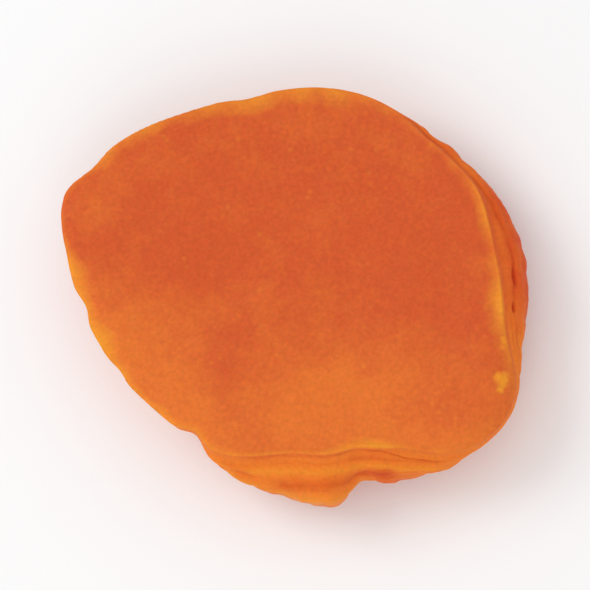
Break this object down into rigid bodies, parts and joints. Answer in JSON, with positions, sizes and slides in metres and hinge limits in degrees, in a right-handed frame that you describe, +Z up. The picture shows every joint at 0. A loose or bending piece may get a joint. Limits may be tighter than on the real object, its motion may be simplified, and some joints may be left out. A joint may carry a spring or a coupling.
{
  "type": "dried apricot half",
  "caption": "Dried, pitted apricot half lying on its puckered skin: a smooth cut face in a thin raised lip, with folds along the rim.",
  "frame": {"origin": "on the surface that the half lies on, under the middle of its outline", "axes": "+Z up, out of the cut face; +X along the fruit's length, from the pointed stem end to the round end; +Y across it"},
  "size_m": [0.0436, 0.0396, 0.0091],
  "materials": {
    "dried_flesh": "gelled, slightly waxy deep orange flesh and skin, paler and yellower at the thin lip"
  },
  "bodies": {
    "root": {"apricot_half": "dried_flesh"}
  },
  "joints": []
}
